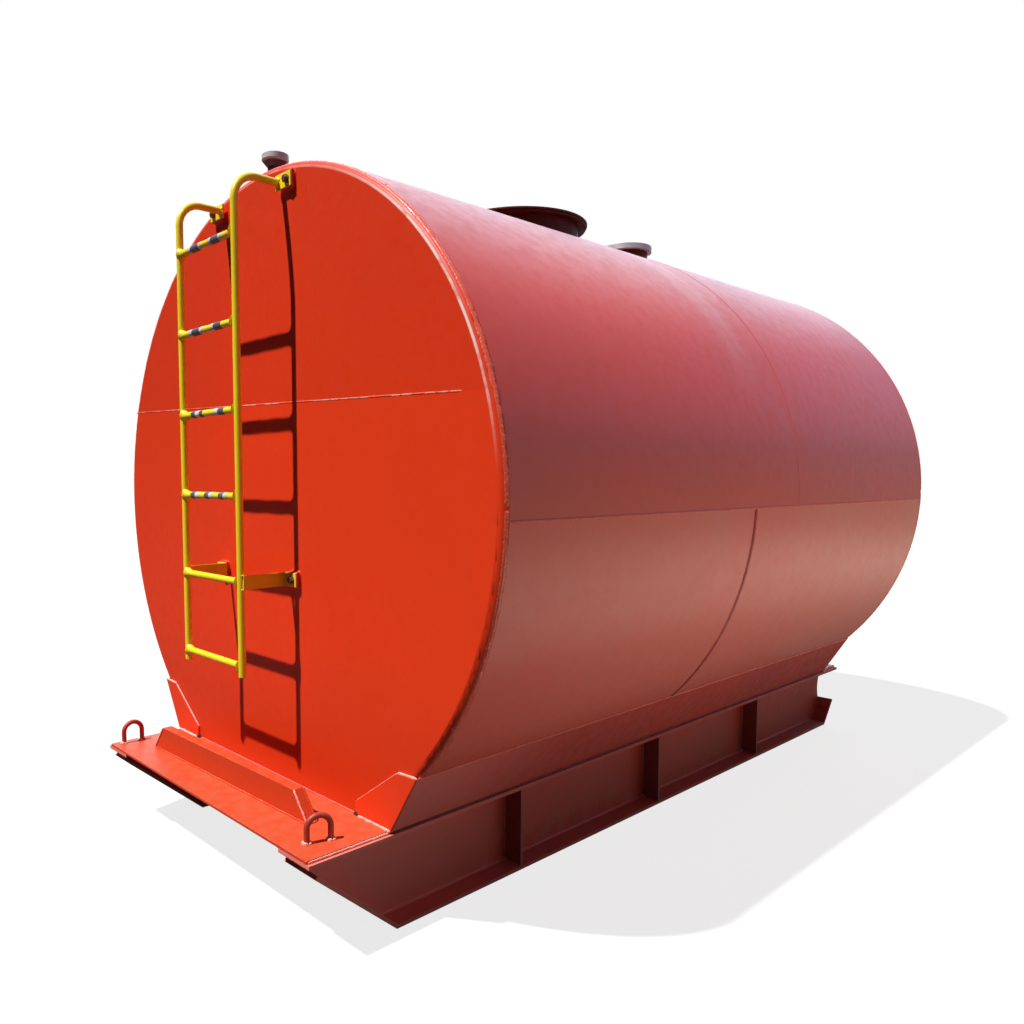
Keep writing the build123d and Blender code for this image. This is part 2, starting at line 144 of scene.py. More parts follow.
class NodeKit:
    """Short names for the shader nodes that the paints, the floor and the backdrop share."""

    def __init__(self, tree):
        self.nodes = tree.nodes
        self.links = tree.links

    def join(self, value, socket):
        if isinstance(value, bpy.types.NodeSocket):
            self.links.new(value, socket)
        else:
            socket.default_value = value

    def ramp(self, value, low, high, low_to=0.0, high_to=1.0, interpolation="SMOOTHSTEP"):
        node = self.nodes.new("ShaderNodeMapRange")
        node.interpolation_type = interpolation
        self.join(value, node.inputs["Value"])
        node.inputs["From Min"].default_value = low
        node.inputs["From Max"].default_value = high
        node.inputs["To Min"].default_value = low_to
        node.inputs["To Max"].default_value = high_to
        return node.outputs["Result"]

    def combine(self, operation, first, second):
        node = self.nodes.new("ShaderNodeMath")
        node.operation = operation
        self.join(first, node.inputs[0])
        self.join(second, node.inputs[1])
        return node.outputs[0]

    def product(self, first, second):
        return self.combine("MULTIPLY", first, second)

    def dot(self, first, second):
        node = self.nodes.new("ShaderNodeVectorMath")
        node.operation = "DOT_PRODUCT"
        self.join(first, node.inputs[0])
        self.join(second, node.inputs[1])
        return node.outputs["Value"]

    def mix(self, share, first, second):
        node = self.nodes.new("ShaderNodeMix")
        node.data_type = "RGBA"
        inputs = [socket for socket in node.inputs if socket.type == "RGBA"]
        output = [socket for socket in node.outputs if socket.type == "RGBA"][0]
        self.join(share, node.inputs[0])
        for value, socket in ((first, inputs[0]), (second, inputs[1])):
            if isinstance(value, tuple):
                value = value + (1.0,)
            self.join(value, socket)
        return output

    def axis(self, vector, name):
        node = self.nodes.new("ShaderNodeSeparateXYZ")
        self.links.new(vector, node.inputs[0])
        return node.outputs[name]


class Shader(NodeKit):
    """A material built from nodes, patterned in the object's own coordinates."""

    def __init__(self, name):
        self.material = bpy.data.materials.new(name)
        self.material.use_nodes = True
        super().__init__(self.material.node_tree)
        self.surface = self.nodes["Principled BSDF"]
        self.coords = self.nodes.new("ShaderNodeTexCoord").outputs["Object"]
        self.normal = self.nodes.new("ShaderNodeNewGeometry").outputs["Normal"]

    def place(self, name):
        return self.axis(self.coords, name)

    def noise(self, scale, detail=3.0, stretch=(1.0, 1.0, 1.0), roughness=0.55):
        spread = self.nodes.new("ShaderNodeMapping")
        spread.inputs["Scale"].default_value = stretch
        self.links.new(self.coords, spread.inputs["Vector"])
        node = self.nodes.new("ShaderNodeTexNoise")
        node.inputs["Scale"].default_value = scale
        node.inputs["Detail"].default_value = detail
        node.inputs["Roughness"].default_value = roughness
        self.links.new(spread.outputs["Vector"], node.inputs["Vector"])
        return node.outputs["Fac"]

    def rounded(self, radius=0.003):
        node = self.nodes.new("ShaderNodeBevel")
        node.samples = 4
        node.inputs["Radius"].default_value = radius
        return node.outputs["Normal"]

    def bump(self, height, distance, strength, normal=None):
        node = self.nodes.new("ShaderNodeBump")
        node.inputs["Strength"].default_value = strength
        node.inputs["Distance"].default_value = distance
        self.links.new(height, node.inputs["Height"])
        if normal is not None:
            self.links.new(normal, node.inputs["Normal"])
        return node.outputs["Normal"]

    def finish(self, colour, normal, roughness):
        self.links.new(colour, self.surface.inputs["Base Color"])
        self.links.new(normal, self.surface.inputs["Normal"])
        self.links.new(roughness, self.surface.inputs["Roughness"])
        return self.material


class Paint(Shader):
    """A painted surface, with the patch patterns that its layers share."""

    def __init__(self, name, main):
        super().__init__(name)
        self.main = main
        self.broad = self.noise(1.3, 4.0)
        self.mottle = self.noise(22.0, 6.0)

    def patchy(self, pattern, least, most):
        return self.ramp(pattern, 0.3, 0.7, least, most)


def rim_highlight(shader, colour, amount):
    """A painted highlight: a pale line where the head turns over to the shell, on the upper half of the
    head, standing in for the glint of the key light on the knuckle.
    """
    line_start = tank_radius - head_knuckle
    across = shader.place("X")
    above = shader.combine("SUBTRACT", shader.place("Z"), axis_z)
    squares = shader.combine("ADD", shader.product(across, across), shader.product(above, above))
    spoke = shader.combine("SQRT", squares, 0.0)
    ring = shader.product(shader.ramp(spoke, line_start - 0.001, line_start + 0.003),
                          shader.ramp(spoke, line_start + 0.011, line_start + 0.007))
    rising = shader.ramp(above, 0.08, 0.55)
    upper = shader.product(rising, shader.ramp(above, 1.12, 0.85, 0.3, 1.0))
    broken = shader.ramp(shader.mottle, 0.3, 0.55, 0.4, amount)
    return shader.mix(shader.product(shader.product(ring, upper), broken), colour, rim_highlight_colour)


def glint_band(shader, colour, amount):
    """A painted glint: a pale stripe over the top of the shell, in front of the upper girth seam, standing
    in for a reflection there.
    """
    along = shader.place("Y")
    stripe = shader.product(shader.ramp(along, -0.17, -0.06), shader.ramp(along, 0.11, 0.0))
    high = shader.ramp(shader.place("Z"), axis_z + 0.3, axis_z + 0.75)
    broken = shader.ramp(shader.mottle, 0.35, 0.65, 0.2, amount)
    return shader.mix(shader.product(shader.product(stripe, high), broken), colour, glint_band_colour)


def rear_sky_sheen(shader, colour, amount):
    """Painted sky sheen: a mauve tint that grows toward the rear, standing in for the reflection of the sky
    at grazing view.
    """
    rearward = shader.ramp(shader.place("Y"), front_rim_y + 1.0, rear_rim_y - 0.4)
    share = shader.product(rearward, shader.patchy(shader.broad, amount * 0.8, amount))
    return shader.mix(share, colour, sky_sheen_colour)


def seam_browning(shader, colour, amount):
    """A browner, darker tint that thickens down to the side seams."""
    falling = shader.ramp(shader.place("Z"), axis_z + 0.42, axis_z - 0.05)
    share = shader.product(falling, shader.patchy(shader.broad, amount * 0.8, amount))
    return shader.mix(share, colour, seam_brown_colour)


def low_shade(shader, colour, amount):
    """Darker paint low on the head, down to the deck."""
    low = shader.ramp(shader.place("Z"), axis_z - 0.45, deck_top, 0.0, amount)
    return shader.mix(low, colour, tuple(channel * 0.6 for channel in shader.main))


def nose_light(shader, colour, amount):
    """Painted light: a paler colour on the front end of the skid, standing in for the stronger light that
    reaches it.
    """
    forward = shader.ramp(shader.place("Y"), front_face + 0.9, front_face - 0.25, 0.0, amount)
    return shader.mix(forward, colour, nose_light_colour)


def sand_and_bounce(shader, colour, amount):
    """A sandy film on the lower shell, thicker toward the rear and thin at the bottom: partly sand, partly
    painted light thrown up from the ground.
    """
    rearward = shader.ramp(shader.place("Y"), front_rim_y, rear_rim_y, 0.6, 1.7)
    lower = shader.ramp(shader.place("Z"), axis_z - 1.05, axis_z - 0.55, 0.25, 1.0)
    patches = shader.patchy(shader.broad, amount * 0.7, amount)
    return shader.mix(shader.product(shader.product(rearward, lower), patches), colour, sand_and_bounce_colour)


def pale_top_sheen(shader, colour, height):
    """Pale above a height: bare pale metal, with a painted sky highlight on the upper side of the cap."""
    top = shader.ramp(shader.place("Z"), height - 0.003, height + 0.003, 0.0, 0.95)
    return shader.mix(top, colour, cap_pale_sheen_colour)


def paint(name, main, worn, dust_and_sheen=(0.60, 0.26, 0.22), top_dust_and_sheen=0.25, settle=(0.45, 1.0), even=False,
          streaks=0.1, speckle=0.2, splash=0.0, edge=0.5, layers=(), wave=0.0, peel=0.12,
          rough=(0.36, 0.5), gloss=0.5):
    """Paint on steel: patches, runs, speckle, a settled dusting on tops (on some paints also a painted
    sheen), and pale edges that are partly worn paint, partly painted edge highlights; then the layers in
    turn.
    """
    shader = Paint(name, main)
    deep = tuple(channel * 0.8 for channel in main)
    pale = tuple(min(1.0, channel * 0.55 + part * 0.45) for channel, part in zip(main, dust_and_sheen))
    grain = shader.noise(260.0, 2.0)
    runs = shader.noise(1.0, 4.0, stretch=(16.0, 16.0, 0.7))
    colour = shader.mix(shader.ramp(shader.broad, 0.36, 0.66), main, worn)
    colour = shader.mix(shader.ramp(shader.mottle, 0.48, 0.8, 0.0, 0.22), colour, deep)
    colour = shader.mix(shader.ramp(runs, 0.56, 0.78, 0.0, streaks), colour, pale)
    colour = shader.mix(shader.ramp(grain, 0.56, 0.74, 0.0, speckle), colour, dust_and_sheen)
    if even:
        patches = shader.patchy(shader.broad, top_dust_and_sheen * 0.85, top_dust_and_sheen)
    else:
        patches = shader.patchy(shader.mottle, top_dust_and_sheen * 0.55, top_dust_and_sheen)
    # Settled colour on up-facing faces: a dusting, and on some paints a painted sheen that also holds down
    # the key light on tops
    upward = shader.ramp(shader.axis(shader.normal, "Z"), settle[0], settle[1])
    colour = shader.mix(shader.product(upward, patches), colour, dust_and_sheen)
    if splash:
        low = shader.ramp(shader.place("Z"), 0.36, 0.0)
        spots = shader.ramp(shader.mottle, 0.35, 0.7, splash * 0.3, splash)
        colour = shader.mix(shader.product(low, spots), colour, splash_colour)
    normal = None
    # Pale edges: partly worn paint, partly painted edge highlights
    if edge:
        normal = shader.rounded()
        near_edge = shader.ramp(shader.dot(normal, shader.normal), 0.97, 0.75)
        worn_and_highlit_edges = shader.product(near_edge, shader.ramp(shader.mottle, 0.36, 0.62, 0.1, edge))
        colour = shader.mix(worn_and_highlit_edges, colour, rubbed_and_highlight_colour)
    for layer, amount in layers:
        colour = layer(shader, colour, amount)
    if wave:
        normal = shader.bump(shader.noise(2.3, 2.0), 0.03, wave, normal)
    normal = shader.bump(shader.noise(330.0, 2.0), 0.0008, peel, normal)
    shader.surface.inputs["Specular IOR Level"].default_value = gloss
    return shader.finish(colour, normal, shader.ramp(shader.mottle, 0.3, 0.72, rough[0], rough[1]))


def steel(name):
    """Dull galvanised steel with cloudy spangle and scratches."""
    shader = Shader(name)
    cloud = shader.noise(18.0, 5.0)
    scratch = shader.noise(60.0, 4.0, stretch=(1.0, 14.0, 1.0))
    colour = shader.mix(shader.ramp(cloud, 0.3, 0.7), (0.57, 0.57, 0.58), (0.67, 0.66, 0.65))
    colour = shader.mix(shader.ramp(scratch, 0.6, 0.75, 0.0, 0.4), colour, (0.30, 0.28, 0.26))
    normal = shader.bump(scratch, 0.0006, 0.2, shader.rounded())
    shader.surface.inputs["Metallic"].default_value = 0.15
    return shader.finish(colour, normal, shader.ramp(cloud, 0.3, 0.7, 0.34, 0.56))


red = (0.77, 0.050, 0.0120)
red_worn = (0.73, 0.048, 0.0130)
materials = {
    "head_upper": paint(
        "head_upper_paint", (0.72, 0.037, 0.0045), (0.70, 0.036, 0.0045), top_dust_and_sheen=0.1, streaks=0.03,
        speckle=0.03, wave=0.008, edge=0.0, layers=((rim_highlight, 0.95),), rough=(0.42, 0.52), gloss=0.3),
    "head_lower": paint(
        "head_lower_paint", (0.79, 0.042, 0.0045), (0.76, 0.040, 0.0045), top_dust_and_sheen=0.1, streaks=0.03,
        speckle=0.03, wave=0.008, edge=0.0, layers=((rim_highlight, 0.95), (low_shade, 0.55)),
        rough=(0.42, 0.52), gloss=0.3),
    "plate": paint(
        "plate_paint", (0.79, 0.044, 0.0055), (0.75, 0.042, 0.0065), top_dust_and_sheen=0.3, streaks=0.04,
        speckle=0.05, edge=0.7, rough=(0.42, 0.54), gloss=0.3),
    # On the upper shell the settled colour is a mauve painted sky sheen on the crest, which also holds down
    # the key light there.
    "shell_upper": paint(
        "shell_upper_paint", red, red_worn, dust_and_sheen=(0.25, 0.080, 0.115), top_dust_and_sheen=0.85, settle=(0.52, 0.95),
        even=True, streaks=0.02, speckle=0.2, wave=0.006, edge=0.0, peel=0.05, rough=(0.38, 0.46),
        layers=((glint_band, 0.16), (rear_sky_sheen, 0.28), (seam_browning, 0.42)), gloss=0.6),
    "shell_lower": paint(
        "shell_lower_paint", red, red_worn, dust_and_sheen=(0.60, 0.33, 0.26), top_dust_and_sheen=0.3, streaks=0.04,
        speckle=0.28, wave=0.008, edge=0.0, peel=0.05, rough=(0.38, 0.46), layers=((sand_and_bounce, 0.32),)),
    "bolt": paint(
        "bolt_paint", (0.055, 0.016, 0.014), (0.09, 0.018, 0.014), top_dust_and_sheen=0.3, speckle=0.2, edge=0.5,
        rough=(0.4, 0.6)),
    # Painted shade: near-black paint on the wide cradle foot welds, standing in for the shadow on the
    # flange strip beside them.
    "foot_weld_shade": paint(
        "foot_weld_shade_paint", (0.12, 0.014, 0.010), (0.09, 0.012, 0.010), top_dust_and_sheen=0.1, speckle=0.2,
        edge=0.0, rough=(0.5, 0.7), gloss=0.3),
    "skid": paint(
        "skid_paint", (0.60, 0.042, 0.014), (0.50, 0.037, 0.015), splash=0.3, top_dust_and_sheen=0.3, streaks=0.05,
        speckle=0.14, edge=0.7, rough=(0.46, 0.62), layers=((nose_light, 0.75),)),
    # Painted shade: a darker copy of the skid paint, for stiffeners that stand in shade under the tank.
    "stiffener": paint(
        "stiffener_paint", (0.30, 0.042, 0.032), (0.26, 0.038, 0.030), splash=0.3, top_dust_and_sheen=0.3,
        streaks=0.05, speckle=0.14, edge=0.9, rough=(0.46, 0.62)),
    # Painted shade: the step wears a darker copy of the deck paint, to offset light bounced onto it from
    # the deck; its settled colour on top is partly painted sheen.
    "step": paint(
        "step_paint", (0.60, 0.044, 0.0065), (0.57, 0.043, 0.0075), dust_and_sheen=(0.60, 0.105, 0.040),
        top_dust_and_sheen=0.6, streaks=0.03, speckle=0.06, edge=0.5, rough=(0.42, 0.56), gloss=0.35),
    # On the deck the settled colour on top is partly painted sheen: darker and paler, standing in for sky
    # gloss and holding down the key light.
    "deck": paint(
        "deck_paint", (0.70, 0.046, 0.0065), (0.67, 0.045, 0.0075), dust_and_sheen=(0.53, 0.098, 0.040),
        top_dust_and_sheen=0.9, streaks=0.03, speckle=0.08, edge=0.8, rough=(0.42, 0.56), gloss=0.35),
    "lug": paint(
        "lug_paint", (0.46, 0.036, 0.015), (0.34, 0.031, 0.016), top_dust_and_sheen=0.2, speckle=0.2, edge=0.4,
        rough=(0.42, 0.6)),
    # Painted shade: red paint darkened to near black, for the manhole and nozzle, which stand in shade.
    "fitting": paint(
        "fitting_paint", (0.12, 0.011, 0.007), (0.085, 0.010, 0.007), dust_and_sheen=(0.22, 0.07, 0.05),
        top_dust_and_sheen=0.4, speckle=0.1, edge=0.35, rough=(0.5, 0.66), gloss=0.15),
    # Painted shade: red paint darkened to dark maroon for the vent, which stands in shade.
    "vent": paint(
        "vent_paint", (0.10, 0.022, 0.020), (0.07, 0.020, 0.022), dust_and_sheen=(0.4, 0.34, 0.34), top_dust_and_sheen=0.6,
        speckle=0.12, edge=0.3, rough=(0.4, 0.6), layers=((pale_top_sheen, vent_top - vent_cap_crown),)),
    "weld": paint(
        "weld_paint", (0.70, 0.075, 0.032), (0.58, 0.050, 0.020), dust_and_sheen=(0.78, 0.36, 0.30), top_dust_and_sheen=0.3,
        speckle=0.5, edge=0.0, rough=(0.3, 0.46), peel=0.3),
    # Partly painted highlight: the rim weld is paler pink with pale speckle, standing in for the lit bead
    # and the glints on its ripples.
    "rim_weld_glint": paint(
        "rim_weld_glint_paint", (0.80, 0.13, 0.070), (0.74, 0.075, 0.030), dust_and_sheen=(0.88, 0.50, 0.42),
        top_dust_and_sheen=0.35, speckle=0.6, edge=0.0, rough=(0.28, 0.42), peel=0.35),
    # Partly painted shade: darker paint for the lower girth seam, standing in for the shadow along its
    # bead.
    "seam": paint(
        "seam_paint", (0.40, 0.032, 0.014), (0.30, 0.028, 0.016), top_dust_and_sheen=0.3, speckle=0.35, edge=0.0,
        rough=(0.35, 0.55), peel=0.3),
    # Partly painted highlight: pale whitish welds, standing in for weld beads that catch the light.
    "pale_weld_highlight": paint(
        "pale_weld_highlight_paint", (0.80, 0.46, 0.38), (0.74, 0.16, 0.09), dust_and_sheen=(0.85, 0.75, 0.7), top_dust_and_sheen=0.5,
        speckle=0.6, edge=0.0, rough=(0.3, 0.5), peel=0.4),
    "ladder": paint(
        "ladder_paint", (0.99, 0.77, 0.016), (0.96, 0.68, 0.014), dust_and_sheen=(0.85, 0.66, 0.20), top_dust_and_sheen=0.1,
        streaks=0.12, speckle=0.1, edge=0.2, rough=(0.28, 0.42)),
    "tape_dark": paint(
        "tape_dark", (0.075, 0.08, 0.11), (0.12, 0.125, 0.16), dust_and_sheen=(0.4, 0.38, 0.36), top_dust_and_sheen=0.4,
        speckle=0.3, edge=0.3, rough=(0.35, 0.55)),
    "tape_pale": paint(
        "tape_pale", (0.78, 0.72, 0.58), (0.66, 0.58, 0.42), dust_and_sheen=(0.5, 0.45, 0.36), top_dust_and_sheen=0.2,
        speckle=0.3, edge=0.2, rough=(0.35, 0.55)),
    "lid": steel("lid_steel"),
    # Painted shade: near-black paint for the discs in the drain notches.
    "notch_shade": paint(
        "notch_shade_paint", (0.035, 0.012, 0.010), (0.05, 0.018, 0.014), dust_and_sheen=(0.12, 0.06, 0.05), top_dust_and_sheen=0.1,
        streaks=0.0, speckle=0.3, edge=0.0, rough=(0.7, 0.9)),
}


def finish_of(node):
    """Which paint a node of the frame wears."""
    if node.startswith("shell_upper"):
        return "shell_upper"
    if node.startswith("shell_lower"):
        return "shell_lower"
    if node.endswith("_head_upper"):
        return "head_upper"
    if node.endswith("_head_lower"):
        return "head_lower"
    if node.endswith(("_head_pad", "_gusset")):
        return "plate"
    if "ladder" in node:
        return "ladder"
    if node == "nozzle_lid":
        return "lid"
    if node.startswith(("manhole", "nozzle")):
        return "fitting"
    if node.startswith("vent"):
        return "vent"
    if node.endswith("lifting_lug"):
        return "lug"
    if node == "deck_step":
        return "step"
    if node.endswith("web_stiffeners"):
        return "stiffener"
    if node.startswith(("front_deck", "rear_deck")):
        return "deck"
    return "skid"


for node_name, node_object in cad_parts.items():
    node_object.data.materials.clear()
    node_object.data.materials.append(materials[finish_of(node_name)])


class Builder:
    """Collects the points and faces of one piece."""

    def __init__(self):
        self.points = []
        self.faces = []

    def add(self, points, faces):
        start = len(self.points)
        self.points.extend(points)
        self.faces.extend([tuple(start + index for index in face) for face in faces])

    def add_rings(self, points, rows, sides):
        """Closed rings of points joined into a tube with capped ends."""
        faces = []
        for row in range(rows - 1):
            for side in range(sides):
                here = row * sides + side
                beside = row * sides + (side + 1) % sides
                faces.append((here, beside, beside + sides, here + sides))
        faces.append(tuple(range(sides - 1, -1, -1)))
        faces.append(tuple(range((rows - 1) * sides, rows * sides)))
        self.add(points, faces)

    def bead(self, stations, size, seed, pitch=bead_pitch):
        """A rippled weld bead along stations of (point, outward direction)."""
        width, height = bead_sizes[size]
        last = len(stations) - 1
        travelled = 0.0
        points = []
        for index, (point, outward) in enumerate(stations):
            before = stations[max(index - 1, 0)][0]
            after = stations[min(index + 1, last)][0]
            along = (after - before).normalized()
            if index:
                travelled += (point - before).length
            across = along.cross(outward).normalized()
            rise = across.cross(along).normalized()
            phase = (travelled / pitch) % 1.0
            ripple = ripple_base + ripple_rise * math.sin(math.pi * phase)
            wander = noise.noise(Vector((travelled * wander_scale, seed * 7.3, 0.0)))
            swell = noise.noise(Vector((travelled * swell_scale, seed * 3.1, 5.0)))
            taper = min(1.0, end_width + min(index, last - index) * taper_step)
            half = width / 2 * (ripple * (1.0 + bead_roughness * (wander + swell))) * taper
            crown = height * (0.8 + 0.3 * ripple + bead_roughness * swell) * taper
            root = height * 0.6
            shift = across * (width * 0.1 * wander)
            for side in range(bead_sides):
                angle = 2 * math.pi * side / bead_sides
                lift = math.sin(angle) * (crown if math.sin(angle) > 0 else root)
                points.append(point + shift + across * (math.cos(angle) * half) + rise * lift)
        self.add_rings(points, len(stations), bead_sides)

    def lathe(self, profile, segments, place, stretch=(1.0, 1.0)):
        """A turned form: the profile is (radius, height) and turns about the local Z of place."""
        points = []
        for radius, height in profile:
            for segment in range(segments):
                angle = 2 * math.pi * segment / segments
                x_spot = radius * math.cos(angle) * stretch[0]
                y_spot = radius * math.sin(angle) * stretch[1]
                points.append(place @ Vector((x_spot, y_spot, height)))
        self.add_rings(points, len(profile), segments)

    def piece(self, name, material, slot, sharp_angle=40.0):
        """A new mesh that stays with the tank."""
        mesh = bpy.data.meshes.new(name)
        mesh.from_pydata([tuple(point) for point in self.points], [], self.faces)
        mesh.validate()
        mesh.shade_smooth()
        mesh.set_sharp_from_angle(angle=math.radians(sharp_angle))
        mesh.materials.append(materials[material])
        piece = bpy.data.objects.new(name, mesh)
        bpy.context.scene.collection.objects.link(piece)
        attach(piece, "root")


def line(start, finish, outward, spacing=0.004):
    """Stations of a straight bead."""
    start = Vector(start)
    finish = Vector(finish)
    outward = Vector(outward).normalized()
    count = max(3, int((finish - start).length / spacing))
    return [(start.lerp(finish, index / count), outward) for index in range(count + 1)]


def hoop(radius, y_place, from_angle, to_angle, lean=0.0, spacing=0.005):
    """Stations of a bead round the tank; lean tips its outward direction along Y."""
    count = max(8, int(radius * abs(to_angle - from_angle) / spacing))
    stations = []
    for index in range(count + 1):
        angle = from_angle + (to_angle - from_angle) * index / count
        spoke = Vector((math.cos(angle), 0.0, math.sin(angle)))
        point = Vector((0.0, y_place, axis_z)) + spoke * radius
        stations.append((point, (spoke + Vector((0.0, lean, 0.0))).normalized()))
    return stations


def saddle(x_place, y_place, radius, spacing=0.005):
    """Stations of a bead where an upright neck meets the shell."""
    count = int(2 * math.pi * radius / spacing)
    stations = []
    for index in range(count + 1):
        angle = 2 * math.pi * index / count
        side = Vector((math.cos(angle), math.sin(angle), 0.0))
        x_point = x_place + radius * side.x
        z_point = axis_z + math.sqrt(tank_radius ** 2 - x_point ** 2)
        spoke = Vector((x_point, 0.0, z_point - axis_z)).normalized()
        point = Vector((x_point, y_place + radius * side.y, z_point))
        stations.append((point, (spoke + side).normalized()))
    return stations


x_axis = Vector((1.0, 0.0, 0.0))
y_axis = Vector((0.0, 1.0, 0.0))
z_axis = Vector((0.0, 0.0, 1.0))


def collar(centre, radius, second_axis, lean, count):
    """Stations of a bead round a bar or tube on a plate; lean points away from the plate."""
    stations = []
    for index in range(count + 1):
        angle = 2 * math.pi * index / count
        spoke = x_axis * math.cos(angle) + second_axis * math.sin(angle)
        stations.append((centre + spoke * radius, (spoke + lean).normalized()))
    return stations


# Welds of the tank body
rim_weld_radius = tank_radius - 0.006
rim_weld_outset = 0.012
rim_weld_lean = 0.9
rims = Builder()
for rim_y, outward, seed in ((front_rim_y, -1, 1), (rear_rim_y, 1, 2)):
    weld_y = rim_y + outward * rim_weld_outset
    rims.bead(hoop(rim_weld_radius, weld_y, 0.0, 2 * math.pi, outward * rim_weld_lean), "rim", seed)
rims.piece("rim_welds", "rim_weld_glint", "tank_paint")

# The lower girth bead is wide and dark: partly the weld, partly its painted shadow on the shell.
lower_girth = Builder()
lower_start = math.pi + side_seam_angle
lower_finish = 2 * math.pi - side_seam_angle
lower_girth.bead(hoop(tank_radius, lower_girth_y, lower_start, lower_finish), "lower_girth", seed=3)
lower_girth.piece("lower_girth_weld", "seam", "tank_paint")

upper_girth = Builder()
upper_start = -side_seam_angle
upper_finish = math.pi + side_seam_angle
upper_girth.bead(hoop(tank_radius, upper_girth_y, upper_start, upper_finish), "upper_girth", seed=4)
upper_girth.piece("upper_girth_weld", "shell_upper", "tank_paint")

plate_seams = Builder()
seam_z = axis_z - tank_radius * math.sin(side_seam_angle)
for side in (1, -1):
    seam_x = side * tank_radius * math.cos(side_seam_angle)
    plate_seams.bead(line((seam_x, front_rim_y, seam_z), (seam_x, rear_rim_y, seam_z), (side, 0, 0)),
                     "plate_seam", seed=5 + side)
plate_seams.piece("plate_seam_welds", "weld", "tank_paint")

# Seam across each head: a painted bead, with pale stretches where the weld shows, their paleness partly a
# painted highlight
seam_left = -1.128
seam_right = 1.045
dash_count = 42
dash_cutoff = 0.05
unbroken_from = 0.86


def head_seam_line(start_x, finish_x, face_y, outward):
    """Stations along the tilted seam of a head."""
    ends = [(x_place, face_y, axis_z + head_seam_height - x_place * math.tan(head_seam_tilt))
            for x_place in (start_x, finish_x)]
    return line(ends[0], ends[1], (0, outward, 0))


head_seams = Builder()
pale_dashes = Builder()
dash_length = (seam_right - seam_left) / dash_count
for face_y, outward in tank_ends:
    head_seams.bead(head_seam_line(seam_left, seam_right, face_y, outward), "head_seam", seed=8 + outward)
    for index in range(dash_count):
        start = seam_left + (seam_right - seam_left) * index / dash_count
        painted = noise.noise(Vector((index * 0.63, 4.2, face_y))) < dash_cutoff
        if painted and start < unbroken_from:
            continue
        dash = head_seam_line(start, start + dash_length, face_y, outward)
        pale_dashes.bead(dash, "head_seam_pale", seed=200 + index)
head_seams.piece("head_seam_welds", "plate", "tank_paint")
pale_dashes.piece("head_seam_pale_welds", "pale_weld_highlight", "tank_paint")


def side_line(x_place, z_place, outward):
    """Stations of a bead that runs from head to head along the side of the tank."""
    return line((x_place, front_face, z_place), (x_place, rear_face, z_place), outward)


# Welds of the cradle plates
cradle = Builder()
# The foot welds are wide and near black: partly weld, partly painted shadow on the flange strip.
cradle_feet = Builder()
foot_x = beam_high.x - cradle_inset
foot_weld_sink = 0.001
foot_weld_x = foot_x - foot_weld_sink
foot_z = beam_high.z
for side in (1, -1):
    top_x = side * cradle_high.x
    cradle.bead(side_line(top_x, cradle_high.z, (side * 0.4, 0, 1)), "cradle_top", seed=20 + side)
    cradle_feet.bead(side_line(side * foot_weld_x, foot_z, (side, 0, 1)), "cradle_foot", seed=24 + side)
    joint_foot = (side * foot_x, lower_girth_y, foot_z)
    joint_top = (top_x, lower_girth_y, cradle_high.z)
    cradle.bead(line(joint_foot, joint_top, (side, 0, -0.6)), "cradle_joint", seed=28 + side)
cradle.piece("cradle_welds", "weld", "skid_paint")
cradle_feet.piece("cradle_foot_welds_and_shade", "foot_weld_shade", "skid_paint")

# Welds of the gussets across the ends of the cradle
gusset_upper_x = gusset_lap_radius * math.sin(gusset_upper_angle)
gusset_upper_z = axis_z - gusset_lap_radius * math.cos(gusset_upper_angle)
gusset_lower_x = gusset_lap_radius * math.sin(gusset_lower_angle)
gusset_lower_z = axis_z - gusset_lap_radius * math.cos(gusset_lower_angle)
foot_share = (deck_top - beam_high.z) / (cradle_high.z - beam_high.z)
gusset_foot_x = foot_x + foot_share * (cradle_high.x - foot_x)
gusset_weld_lift = 0.003
gussets = Builder()
for face_y, outward in tank_ends:
    weld_y = face_y + outward * gusset_weld_lift
    plate_y = face_y + outward * gusset_plate
    for side in (1, -1):
        seed = 32 + side + 3 * outward
        upper = (side * gusset_upper_x, weld_y, gusset_upper_z)
        lower = (side * gusset_lower_x, weld_y, gusset_lower_z)
        top = (side * cradle_high.x, weld_y, cradle_high.z)
        gussets.bead(line(lower, upper, (-side, outward * 1.2, 1)), "gusset_lap", seed)
        gussets.bead(line(upper, top, (0, outward, 1)), "gusset_edge", seed + 10)
        inner = (side * (gusset_lower_x + gusset_notch), plate_y, deck_top)
        outer = (side * gusset_foot_x, plate_y, deck_top)
        gussets.bead(line(inner, outer, (0, outward, 1)), "gusset_edge", seed + 20)
gussets.piece("gusset_welds", "pale_weld_highlight", "skid_paint")

# Welds along the deck edges and between deck and head
deck_weld_z = deck_top - 0.006
deck_weld_front_gap = 0.004
deck_weld_rear_gap = 0.002
deck_edges = Builder()
for low, high in deck_boxes:
    for side in (1, -1):
        edge_x = side * high.x
        front_end = (edge_x, low.y + deck_weld_front_gap, deck_weld_z)
        rear_end = (edge_x, high.y - deck_weld_rear_gap, deck_weld_z)
        deck_edges.bead(line(front_end, rear_end, (side, 0, 1)), "deck_edge", seed=60 + side + int(low.y))
deck_edges.piece("deck_edge_welds", "pale_weld_highlight", "skid_paint")

deck_heads = Builder()
inner_x = gusset_lower_x - gusset_notch
for face_y, outward in tank_ends:
    head_line = line((-inner_x, face_y, deck_top), (inner_x, face_y, deck_top), (0, outward, 1))
    deck_heads.bead(head_line, "deck_head", seed=66 + outward)
deck_heads.piece("deck_head_welds", "weld", "skid_paint")

# Welds round the step bar, which sits a little askew
step_centre = (step_low + step_high) / 2
step_along = Vector((math.cos(step_turn), math.sin(step_turn), 0.0))
step_across = Vector((-math.sin(step_turn), math.cos(step_turn), 0.0))


